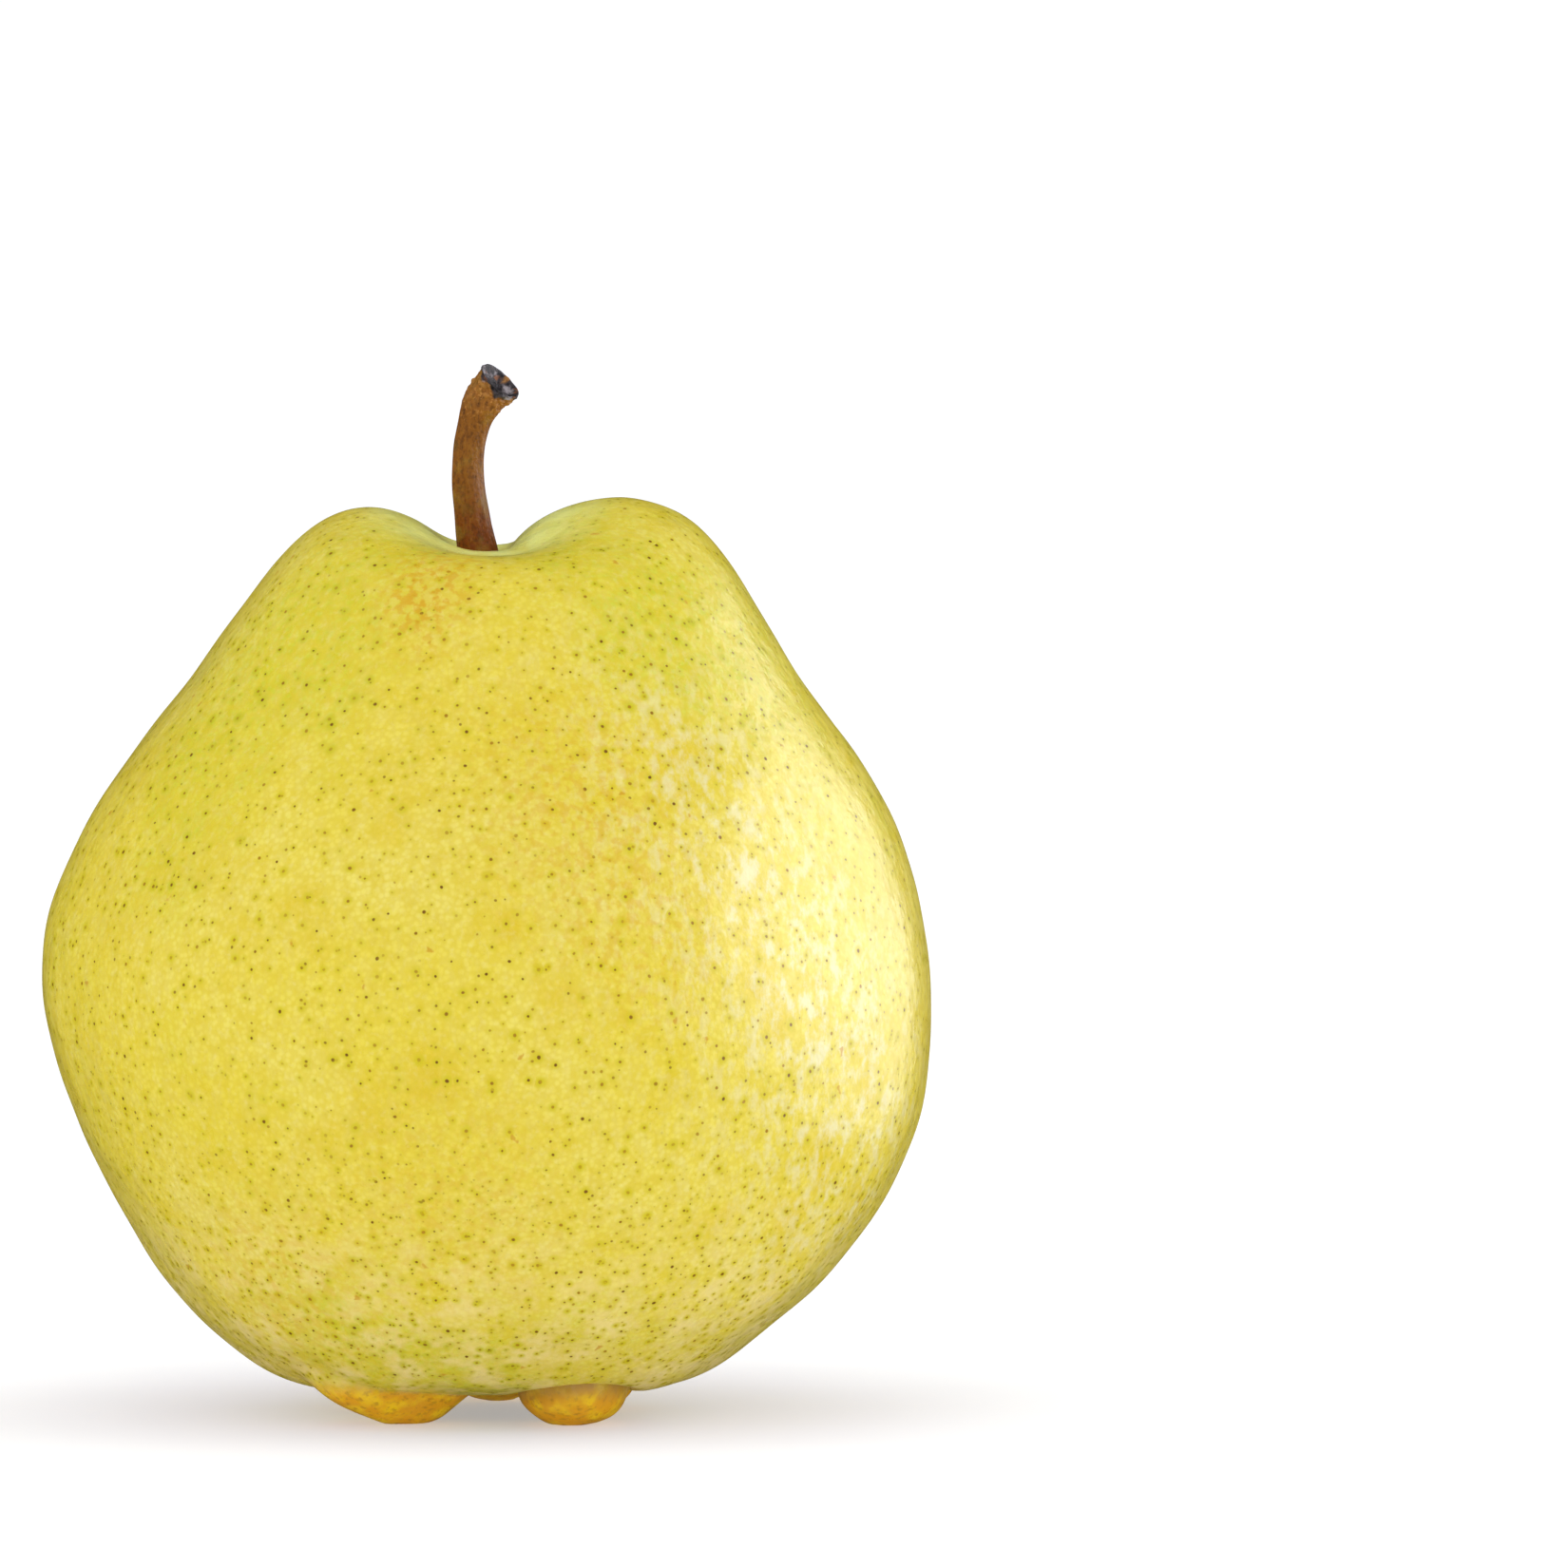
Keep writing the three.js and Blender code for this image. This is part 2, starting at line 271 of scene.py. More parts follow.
def fruit_grid():
    """The skin as a grid of points, and how surely each is on a knob or in a fold."""
    t = np.linspace(0, 1, FRUIT_ROWS + 1)
    r, z, lean = (column[:, None] for column in softened(spline(OUTLINE, t), 4).T)
    r = np.maximum(r, 0)
    r[0] = r[-1] = 0
    turn = 2 * math.pi * np.arange(FRUIT_COLUMNS)[None] / FRUIT_COLUMNS
    squeeze = lerp(1, BODY_DEPTH / BODY_WIDTH, smoothstep(r, KNOB_RING, 0.4 * BODY_WIDTH))

    # The hollow is narrower on its right.
    pinched = smoothstep(r, 0.8 * HOLLOW_RADIUS, 1.5 * HOLLOW_RADIUS)
    pinched = pinched * (1 - smoothstep(r, 4, SHOULDER_RADIUS))
    pinch = HOLLOW_PINCH * np.maximum(0, np.cos(turn)) * pinched * (z > BODY_HEIGHT / 2)
    x, y = r * np.cos(turn) * (1 - pinch), r * np.sin(turn) * squeeze
    height = z - rim_drop(turn, r, z)
    under = 1 - smoothstep(z, UNDERSIDE_HEIGHT, UNDERSIDE_HEIGHT + 3)
    share, inside, fold = (value * under for value in knob_shape(x, y))
    height = height - side_sag(turn, r) * under

    # The fold where each knob joins the body, and faint ribs that run on up from the knobs.
    height = height + FOLD_HEIGHT * fold * (1 - share)
    ribs = RIB_HEIGHT * np.cos(KNOB_COUNT * (turn - FIRST_KNOB))
    ribs = ribs * smoothstep(r, 12, 20) * (1 - smoothstep(z, 12, 34))
    x, y = x + ribs * np.cos(turn), y + ribs * np.sin(turn)
    knobbed = lerp(height, -KNOB_PRESSED, share)
    grid = np.stack(np.broadcast_arrays(x + lean, y, knobbed), axis=-1)

    # Slow swells all over, and small ones in the fleshy knobs.
    body = smoothstep(r, 3, 14)
    swell = SWELL_HEIGHT * waves(grid, 3, 9, 17, 42)
    swell = swell + DIMPLE_HEIGHT * waves(grid, 4, 12, 6, 11)
    outward = grid - [0, 0, 0.45 * BODY_HEIGHT]
    outward /= np.linalg.norm(outward, axis=-1, keepdims=True)
    grid = grid + outward * (swell * body)[..., None]
    grid[..., 2] += KNOB_LUMP_HEIGHT * share * waves(grid, 5, 10, 2.5, 5)
    grid[..., 2] = np.where(under > 0, np.maximum(grid[..., 2], 0), grid[..., 2])
    grid[0], grid[-1] = grid[0].mean(0), grid[-1].mean(0)
    low = 1 - smoothstep(grid[..., 2], 2.8, 4.6)
    return grid, inside * low, fold * (1 - share)


# Clouds of colour, as (degrees round from the front, height, reach, strength). Positive degrees
# are to the right.
GREEN_CLOUDS = [
    (-44, 74, 9, 0.8),
    (-58, 64, 9, 0.6),
    (-50, 53, 8, 0.55),
    (-30, 66, 7, 0.25),
    (40, 72, 9, 0.95),
    (62, 69, 9, 0.6),
    (70, 52, 10, 0.35),
    (-26, 8, 9, 0.75),
    (0, 6, 7, 0.5),
    (-40, 30, 9, 0.3),
    (24, 10, 8, 0.3),
    (-80, 36, 12, 0.35),
    (110, 60, 16, 0.7),
    (150, 70, 14, 0.8),
    (165, 40, 18, 0.5),
    (-120, 50, 17, 0.6),
    (-160, 66, 15, 0.7),
    (-140, 22, 15, 0.5),
    (130, 18, 13, 0.45),
]
OCHRE_CLOUDS = [
    (-16, 75, 4, 1.0),
    (14, 58, 9, 0.45),
    (22, 46, 8, 0.35),
    (-4, 22, 10, 0.3),
    (-38, 14, 8, 0.35),
    (120, 36, 12, 0.4),
    (-150, 42, 10, 0.4),
    (175, 57, 8, 0.4),
]
# The pale bloom's clouds. Those on the right cheek are a painted highlight where the side light
# falls.
BLOOM_HIGHLIGHT_CLOUDS = [
    (40, 50, 11, 0.7),
    (52, 36, 12, 0.8),
    (34, 62, 8, 0.4),
    (64, 22, 12, 0.5),
    (200, 40, 14, 0.6),
]


def clouds(grid, spots):
    """The summed strength of soft round clouds at each point of the skin."""
    from_front = np.arctan2(grid[..., 0], -grid[..., 1])
    radius = np.hypot(grid[..., 0], grid[..., 1])
    total = np.zeros(grid.shape[:2])
    for degrees, height, reach, strength in spots:
        turned = np.angle(np.exp(1j * (from_front - math.radians(degrees))))
        away = np.hypot(turned * radius, grid[..., 2] - height) / reach
        total += strength * np.exp(-(away**2))
    return total


def make_fruit():
    """The skin, with fields that say where its colours change."""
    grid, knob, fold = fruit_grid()
    from_stem = np.hypot(grid[..., 0], grid[..., 1])
    high = grid[..., 2] > 0.5 * BODY_HEIGHT
    from_eye = np.hypot(grid[..., 0] - BASIN_OFFSET, grid[..., 1])
    fields = {
        "green": clouds(grid, GREEN_CLOUDS),
        "ochre": clouds(grid, OCHRE_CLOUDS),
        "bloom_highlight": clouds(grid, BLOOM_HIGHLIGHT_CLOUDS),
        "knob": knob,
        "fold": fold,
        "seat": np.where(high, 1 - smoothstep(from_stem, 1.6, 3.4), 0),
        "rim": np.where(high, 1 - smoothstep(from_stem, 6, 14), 0),
        "eye": np.where(high, 0, 1 - smoothstep(from_eye, 6, 11.5)),
    }
    return closed_body("pear_skin", grid, fields)


# ---------------------------------------------------------------- the stem


def make_stem():
    """The woody stem: fibres along it, warts near its swollen head, and a dished, broken end."""
    # v runs over the whole body, its two caps included, and t from 0 to 1 between the caps.
    cap_share = 0.09
    v = np.linspace(0, 1, STEM_ROWS + 1)
    t = np.clip((v - cap_share) / (1 - 2 * cap_share), 0, 1)
    fill = np.minimum(1, np.minimum(v, 1 - v) / cap_share)
    middle = spline(STEM_PATH, t)
    places = np.linspace(0, 1, 400)
    tangent = np.gradient(spline(STEM_PATH, places), axis=0)
    tangent = np.stack([np.interp(t, places, column) for column in tangent.T], axis=1)
    tangent /= np.linalg.norm(tangent, axis=1, keepdims=True)
    along = np.stack([tangent[:, 0], 0 * t, tangent[:, 1]], axis=1)[:, None]
    side = np.stack([tangent[:, 1], 0 * t, -tangent[:, 0]], axis=1)[:, None]
    turn = (2 * math.pi * np.arange(STEM_COLUMNS) / STEM_COLUMNS)[None]

    taper, swell = smoothstep(t, 0.2, 0.6), smoothstep(t, 0.68, 0.97)
    radius = lerp(STEM_BASE_RADIUS, STEM_WAIST_RADIUS, taper)
    radius = lerp(radius, STEM_HEAD_RADIUS, swell)[:, None]

    def round_places(reach, length):
        """Places on a plain cylinder, at which the bark's random fields are read."""
        cylinder = (reach * np.cos(turn), reach * np.sin(turn), length * t[:, None])
        return np.stack(np.broadcast_arrays(*cylinder), axis=-1)

    bark = 0.05 * waves(round_places(3, 6), 11, 14, 0.9, 2.4)
    head = smoothstep(t, 0.74, 0.95)[:, None]
    lumps = round_places(2, 18)
    warts = 0.12 * head * np.maximum(0, waves(2 * lumps, 12, 20, 1.0, 2.0))
    flare = 0.2 * head * waves(lumps, 13, 6, 3.0, 6)
    reach = (radius + bark + warts + flare) * fill[:, None]

    # The broken end: a raised, ragged lip round a dished scar, with a small boss in the middle.
    inside = np.where(v > 1 - cap_share, 1 - fill, 0)[:, None]
    end = smoothstep(inside, 0, 0.3)
    dome = 0.15 * np.sqrt(np.clip(1 - fill**2, 0, 1))[:, None] * (inside > 0)
    dish = 0.95 * smoothstep(inside, 0.35, 0.7) - 0.3 * smoothstep(inside, 0.8, 1)
    over = np.stack([reach * np.cos(turn), reach * np.sin(turn), 0 * reach], -1)
    ragged = 0.24 * waves(over, 14, 14, 0.8, 2.2) + 0.08 * waves(over, 15, 14, 0.35, 0.7) - 0.8
    near_end = smoothstep(v, 1 - 2.2 * cap_share, 1 - cap_share)[:, None]
    tilt = 0.3 * reach * np.sin(turn) * near_end
    depth = dome - dish + ragged * end + tilt
    middle = np.stack([middle[:, 0], 0 * t, middle[:, 1]], axis=1)[:, None]
    grid = middle + side * (reach * np.cos(turn))[..., None] + along * depth[..., None]
    grid = grid + np.array([0, 1, 0]) * (reach * np.sin(turn))[..., None]
    grid[0], grid[-1] = grid[0].mean(0), grid[-1].mean(0)
    edge = v[:, None] + 0.3 * cap_share * waves(round_places(2, 0), 16, 10, 0.8, 2.5)
    fields = {
        "along": t[:, None] * np.ones_like(reach),
        "scar": smoothstep(edge, 1 - 1.5 * cap_share, 1 - 1.25 * cap_share),
        "wart": np.clip(warts * 8, 0, 1),
    }
    return closed_body("woody_stem", grid, fields)


# ---------------------------------------------------------------- the dried flower


def ceiling(radius):
    """The height of the basin's skin over a point at that radius from its middle."""
    r, z, _ = spline(OUTLINE, np.linspace(0, 0.2, 400)).T
    return float(np.interp(radius, r, z))


def make_sepal(number):
    """A withered sepal: cupped, curled in at its tip, and crinkled."""
    rng = np.random.default_rng(20 + number)
    v = np.linspace(0, 1, SEPAL_ROWS)[:, None]
    turn = 2 * math.pi * np.arange(SEPAL_COLUMNS)[None] / SEPAL_COLUMNS
    down = 0.5 - 0.5 * np.cos(math.pi * v)
    spread = np.sin(math.pi * v**0.8) ** 0.6
    across = SEPAL_WIDTH / 2 * spread * np.cos(turn)
    through = SEPAL_THICKNESS / 2 * np.minimum(1, 2 * spread) * np.sin(turn)
    curl = rng.uniform(0.7, 1.3) * down**2 + 0.18 * np.sin(9 * down + rng.uniform(0, 6))
    crinkle = 0.1 * np.sin(across * rng.uniform(4, 6) + 5 * down)
    out = SEPAL_ROOT - curl - across**2 / (2 * SEPAL_ROOT) + through + crinkle
    top = ceiling(SEPAL_ROOT + SEPAL_THICKNESS) + 0.15
    length = SEPAL_LENGTH * rng.uniform(0.85, 1)
    local = np.stack(np.broadcast_arrays(out, across, top - length * down), axis=-1)
    local[0], local[-1] = local[0].mean(0), local[-1].mean(0)
    angle = FIRST_KNOB + 2 * math.pi / SEPAL_COUNT * (number - 0.5)
    c, s = math.cos(angle), math.sin(angle)
    turned = local @ np.array([[c, s, 0], [-s, c, 0], [0, 0, 1]])
    return closed_body(f"dried_sepal_{number}", turned + [BASIN_OFFSET, 0, 0])


def make_tuft():
    """The withered stamens: crooked threads with small heads."""
    rng = np.random.default_rng(7)
    points, faces = [], []
    turn = 2 * math.pi * np.arange(THREAD_COLUMNS) / THREAD_COLUMNS
    for number in range(TUFT_THREADS):
        angle = 2.4 * number
        start = TUFT_RADIUS * 0.85 * math.sqrt((number + 0.5) / TUFT_THREADS)
        lean = rng.uniform(-0.35, 0.55)
        length = TUFT_LENGTH * rng.uniform(0.6, 1)
        rings = []
        for step in range(THREAD_ROWS):
            share = step / (THREAD_ROWS - 1)
            r = start + lean * share**2
            bend = angle + 0.5 * share * rng.uniform(-1, 1)
            thick = 0.07 + 0.09 * math.exp(-(((share - 0.9) / 0.1) ** 2))
            thick *= 1 if 0 < step < THREAD_ROWS - 1 else 0.2
            height = ceiling(start) + 0.1 - length * share
            centre = [r * math.cos(bend), r * math.sin(bend), height]
            circle = np.stack([np.cos(turn), -np.sin(turn), 0 * turn], axis=1)
            rings.append(centre + thick * circle)
        first = sum(len(p) for p in points)
        points.append(np.vstack([rings[0].mean(0)[None], *rings, rings[-1].mean(0)[None]]))
        for face in ring_faces(THREAD_ROWS, THREAD_COLUMNS):
            faces.append(tuple(first + i for i in face))
    return make_mesh("dried_stamens", np.vstack(points) + [BASIN_OFFSET, 0, 0], faces)


# ---------------------------------------------------------------- materials


class Nodes:
    """A material's node tree, with short calls for the nodes that the finishes share."""

    def __init__(self, name):
        self.material = bpy.data.materials.new(name)
        self.material.use_nodes = True
        self.tree = self.material.node_tree
        self.tree.nodes.clear()
        self.shader = self.tree.nodes.new("ShaderNodeBsdfPrincipled")
        output = self.tree.nodes.new("ShaderNodeOutputMaterial")
        self.tree.links.new(self.shader.outputs[0], output.inputs["Surface"])
        place = self.tree.nodes.new("ShaderNodeTexCoord").outputs["Object"]
        self.place = self.vector("SCALE", place, scale=1 / MM)

    def put(self, socket, value):
        if isinstance(value, bpy.types.NodeSocket):
            self.tree.links.new(value, socket)
        elif isinstance(value, tuple) and socket.type == "RGBA":
            socket.default_value = (*value[:3], 1)
        elif value is not None:
            socket.default_value = value

    def math(self, operation, a, b=None, c=None, clamp=False):
        node = self.tree.nodes.new("ShaderNodeMath")
        node.operation, node.use_clamp = operation, clamp
        for socket, value in zip(node.inputs, (a, b, c)):
            self.put(socket, value)
        return node.outputs[0]

    def vector(self, operation, a, b=None, scale=None, output=0):
        node = self.tree.nodes.new("ShaderNodeVectorMath")
        node.operation = operation
        self.put(node.inputs[0], a)
        if scale is not None:
            self.put(node.inputs["Scale"], scale)
        elif b is not None:
            self.put(node.inputs[1], b)
        return node.outputs[output]

    def step(self, value, low, high, to_low=0.0, to_high=1.0):
        """A smooth step from to_low to to_high as value goes from low to high."""
        node = self.tree.nodes.new("ShaderNodeMapRange")
        node.interpolation_type = "SMOOTHSTEP"
        for socket, number in zip(node.inputs, (value, low, high, to_low, to_high)):
            self.put(socket, number)
        return node.outputs[0]

    def mix(self, share, a, b):
        node = self.tree.nodes.new("ShaderNodeMix")
        node.data_type = "RGBA"
        self.put(node.inputs[0], share)
        self.put(node.inputs[6], a)
        self.put(node.inputs[7], b)
        return node.outputs[2]

    def noise(self, size, detail=3, stretch=None, rough=0.5):
        """Noise from 0 to 1 whose blots are about size millimetres wide."""
        place = self.vector("MULTIPLY", self.place, stretch) if stretch else self.place
        node = self.tree.nodes.new("ShaderNodeTexNoise")
        self.put(node.inputs["Vector"], place)
        node.inputs["Scale"].default_value = 1 / size
        node.inputs["Detail"].default_value = detail
        node.inputs["Roughness"].default_value = rough
        return node.outputs[0]

    def field(self, name):
        node = self.tree.nodes.new("ShaderNodeAttribute")
        node.attribute_name = name
        return node.outputs["Fac"]

    def spots(self, spacing, offset, warp):
        """Spots that lie in the skin. Gives the distance along the skin from the nearest spot's
        middle, in millimetres, random numbers of that spot, and 1 where the spot is near enough
        the skin to show."""
        place = self.vector("ADD", self.place, offset)
        node = self.tree.nodes.new("ShaderNodeTexNoise")
        self.put(node.inputs["Vector"], place)
        node.inputs["Scale"].default_value = 1 / 0.9
        shift = self.vector("SUBTRACT", node.outputs["Color"], (0.5, 0.5, 0.5))
        place = self.vector("ADD", place, self.vector("SCALE", shift, scale=warp))
        cells = self.tree.nodes.new("ShaderNodeTexVoronoi")
        cells.inputs["Scale"].default_value = 1 / spacing
        cells.inputs["Randomness"].default_value = 0.85
        self.put(cells.inputs["Vector"], place)
        normal = self.tree.nodes.new("ShaderNodeNewGeometry").outputs["Normal"]
        gap = self.vector("SUBTRACT", place, cells.outputs["Position"])
        depth = self.vector("DOT_PRODUCT", gap, normal, output=1)
        within = self.vector("SUBTRACT", gap, self.vector("SCALE", normal, scale=depth))
        away = self.vector("LENGTH", within, output=1)
        shown = self.step(self.math("ABSOLUTE", depth), 0.33 * spacing, 0.28 * spacing)
        split = self.tree.nodes.new("ShaderNodeSeparateColor")
        self.put(split.inputs[0], cells.outputs["Color"])
        return away, split.outputs, shown

    def cells(self, size):
        """0 in the middle of each tiny cell of the skin, and 1 at the edges between cells."""
        cells = self.tree.nodes.new("ShaderNodeTexVoronoi")
        cells.feature = "SMOOTH_F1"
        cells.inputs["Scale"].default_value = 1 / size
        cells.inputs["Smoothness"].default_value = 0.35
        self.put(cells.inputs["Vector"], self.place)
        return self.step(cells.outputs["Distance"], 0.2, 0.65)

    def height(self):
        """The height above the ground, in millimetres."""
        return self.vector("DOT_PRODUCT", self.place, (0, 0, 1), output=1)

    def bump(self, height, distance, after=None):
        """Bump from height, a number from 0 to 1, that is distance millimetres high."""
        node = self.tree.nodes.new("ShaderNodeBump")
        node.inputs["Strength"].default_value = 1.0
        node.inputs["Distance"].default_value = distance * MM
        self.put(node.inputs["Height"], height)
        self.put(node.inputs["Normal"], after)
        return node.outputs[0]

    def finish(self, color, roughness, normal=None, **constants):
        self.put(self.shader.inputs["Base Color"], color)
        self.put(self.shader.inputs["Roughness"], roughness)
        self.put(self.shader.inputs["Normal"], normal)
        for name, value in constants.items():
            self.shader.inputs[name.replace("_", " ")].default_value = value
        return self.material


def lenticels(n, color, spacing, offset, radius, ring, strength, darkness):
    """Specks with a brown middle and a soft ring. Gives the new colour and each middle's share."""
    brown, dark_brown = (0.4, 0.21, 0.0), (0.2, 0.085, 0.0)
    away, random, shown = n.spots(spacing, offset, warp=0.2)
    size = n.math("MULTIPLY", radius, n.step(random[0], 0, 1, 0.7, 1.25))
    ratio = n.math("DIVIDE", away, size)
    middle = n.math("MULTIPLY", n.step(ratio, 1.15, 0.6), shown)
    middle = n.math("MULTIPLY", middle, n.step(random[1], 0.1, 0.6, 0.6, 1.0))
    halo = n.math("MULTIPLY", n.step(ratio, 4.6, 0.6), shown)
    halo = n.math("MULTIPLY", halo, n.step(random[2], 0, 0.8, 0.35, 1.0))
    dark = n.mix(n.step(random[1], 0.5, 0.95), brown, dark_brown)
    color = n.mix(n.math("MULTIPLY", halo, strength), color, ring)
    return n.mix(n.math("MULTIPLY", middle, darkness), color, dark), middle


def ground_color(n):
    """The skin under its specks. Gives the colour, and the share of green in it."""
    yellow, pale, deep = (0.8, 0.66, 0.055), (0.83, 0.71, 0.12), (0.75, 0.56, 0.02)
    ochre, unripe = (0.7, 0.5, 0.02), (0.57, 0.58, 0.01)
    shaded, grainy, light = (0.7, 0.54, 0.01), (0.69, 0.52, 0.006), (0.84, 0.74, 0.25)
    bloom_highlight_pale, cream = (0.81, 0.765, 0.5), (0.95, 0.77, 0.33)

    # Warm yellow, drifting to a paler and a deeper yellow.
    color = n.mix(n.step(n.noise(13, 2), 0.35, 0.72), yellow, pale)
    color = n.mix(n.step(n.noise(9, 3), 0.5, 0.78), color, deep)
    color = n.mix(n.math("MULTIPLY", n.field("ochre"), 0.5), color, ochre)

    # Green that has not ripened yet, in ragged clouds.
    ragged = n.math("MULTIPLY", n.math("SUBTRACT", n.noise(5, 4), 0.5), 1.1)
    green = n.step(n.math("ADD", n.field("green"), ragged), 0.05, 1.0, 0, 0.85)
    speckled = n.math("MULTIPLY", green, n.step(n.noise(1.3, 3), 0.3, 0.7, 0.35, 1))
    color = n.mix(speckled, color, unripe)

    # Fine pale grain in the skin.
    color = n.mix(n.math("MULTIPLY", n.cells(0.55), 0.5), color, shaded)
    color = n.mix(n.step(n.noise(1.6, 3), 0.42, 0.7, 0, 0.4), color, grainy)
    color = n.mix(n.step(n.noise(0.6, 2), 0.5, 0.8, 0, 0.3), color, light)

    # Pale streaky patches: a thin wax bloom all over, thickened on one cheek into a painted
    # highlight where the side light falls.
    streaks = n.noise(1.7, 5, stretch=(1.5, 0.9, 0.75), rough=0.66)
    bloom_highlight_thickness = n.math("MULTIPLY_ADD", n.field("bloom_highlight"), 0.75, 0.06)
    color = n.mix(n.math("MULTIPLY", n.step(streaks, 0.42, 0.66), bloom_highlight_thickness), color, bloom_highlight_pale)

    # Cream marbling near the base.
    marbling = n.step(n.noise(3.2, 5, rough=0.6), 0.38, 0.68)
    base = n.step(n.height(), 26, 6, 0, 0.6)
    return n.mix(n.math("MULTIPLY", marbling, base), color, cream), green


def specked_color(n, color, green):
    """Specks: large ones, a finer set between them, and a crowd of small ones towards the base.
    Gives the new colour, and where the large specks' middles are."""
    clear = n.math("SUBTRACT", 1.0, n.step(n.field("knob"), 0.1, 0.5))
    ring = n.mix(green, (0.64, 0.53, 0.0), (0.52, 0.5, 0.0))
    color, pits = lenticels(n, color, 2.05, (3, 7, 1), 0.155, ring, 1.0, clear)
    fainter = n.math("MULTIPLY", clear, 0.75)
    color, _ = lenticels(n, color, 1.7, (41, 17, 29), 0.125, ring, 0.7, fainter)
    low = n.math("MULTIPLY", n.step(n.height(), 36, 9), clear)
    color, _ = lenticels(n, color, 1.35, (11, 5, 77), 0.11, ring, low, low)
    return color, pits


def russet_color(n, color):
    """Russet: short scratches and flecks, the frosted hollow, the knobs, the basin and a collar
    round the stem. The brown in the folds round the knobs and in the basin is partly painted shade."""
    scratched, flecked, frosted = (0.58, 0.28, 0.003), (0.68, 0.37, 0.0), (0.8, 0.82, 0.25)
    away, random, shown = n.spots(7.5, (9, 2, 5), warp=1.6)
    fleck = n.math("MULTIPLY", n.step(away, 0.36, 0.12), shown)
    fleck = n.math("MULTIPLY", fleck, n.step(random[0], 0.45, 0.6))
    color = n.mix(n.math("MULTIPLY", fleck, 0.7), color, scratched)
    grains = n.step(n.noise(0.9, 3), 0.46, 0.62)
    grains = n.math("MULTIPLY", n.field("ochre"), grains, clamp=True)
    color = n.mix(n.math("MULTIPLY", grains, 0.9), color, flecked)
    frost = n.math("MULTIPLY", n.field("rim"), n.step(n.noise(2.5, 4), 0.3, 0.65, 0.5, 0.95))
    color = n.mix(frost, color, frosted)

    golden, orange, rusty = (1.0, 0.65, 0.0), (0.86, 0.41, 0.0), (0.46, 0.2, 0.0)
    fold_russet_shade_brown, basin_russet_shade_brown, collar_brown = (0.36, 0.14, 0.02), (0.2, 0.075, 0.008), (0.3, 0.19, 0.05)
    patchy = n.noise(2.2, 4)
    flesh = n.mix(n.step(patchy, 0.35, 0.6), golden, orange)
    flesh = n.mix(n.step(n.noise(0.6, 4), 0.5, 0.68, 0, 0.6), flesh, rusty)
    color = n.mix(n.math("MULTIPLY", n.field("knob"), 0.95), color, flesh)
    # Painted shade: a brown line in the fold round each knob, partly russet and partly the shade in
    # the crease.
    fold_russet_shade = n.math("MULTIPLY", n.field("fold"), n.step(patchy, 0.35, 0.6, 0.5, 1))
    color = n.mix(n.math("MULTIPLY", fold_russet_shade, 0.85), color, fold_russet_shade_brown)
    # Painted shade: the basin and the inner sides of the knobs are darker brown, partly russet and
    # partly the shade under the pear.
    eye = n.math("MULTIPLY", n.field("eye"), n.step(patchy, 0.2, 0.7, 0.6, 1))
    color = n.mix(eye, color, basin_russet_shade_brown)
    ragged = n.math("MULTIPLY", n.math("SUBTRACT", patchy, 0.5), 0.5)
    collar = n.math("ADD", n.field("seat"), ragged)
    return n.mix(n.step(collar, 0.45, 0.85), color, collar_brown)


def skin_material():
    n = Nodes("pear skin")
    color, green = ground_color(n)
    color, pits = specked_color(n, color, green)
    color = russet_color(n, color)

    # The relief: slow ripples that break the highlight, fine grain, and a pit at each speck.
    normal = n.bump(n.noise(1.9, 3, stretch=(1, 1, 0.7)), 0.22)
    normal = n.bump(n.noise(0.75, 3), 0.05, normal)
    normal = n.bump(n.math("SUBTRACT", 1.0, pits), 0.012, normal)
    return n.finish(
        color,
        n.step(n.noise(3, 4), 0.3, 0.7, 0.26, 0.37),
        normal,
        Subsurface_Weight=0.1,
        Subsurface_Radius=(1.0, 0.75, 0.2),
        Subsurface_Scale=0.7 * MM,
        Specular_IOR_Level=0.3,
        Coat_Weight=0.4,
        Coat_Roughness=0.3,
    )


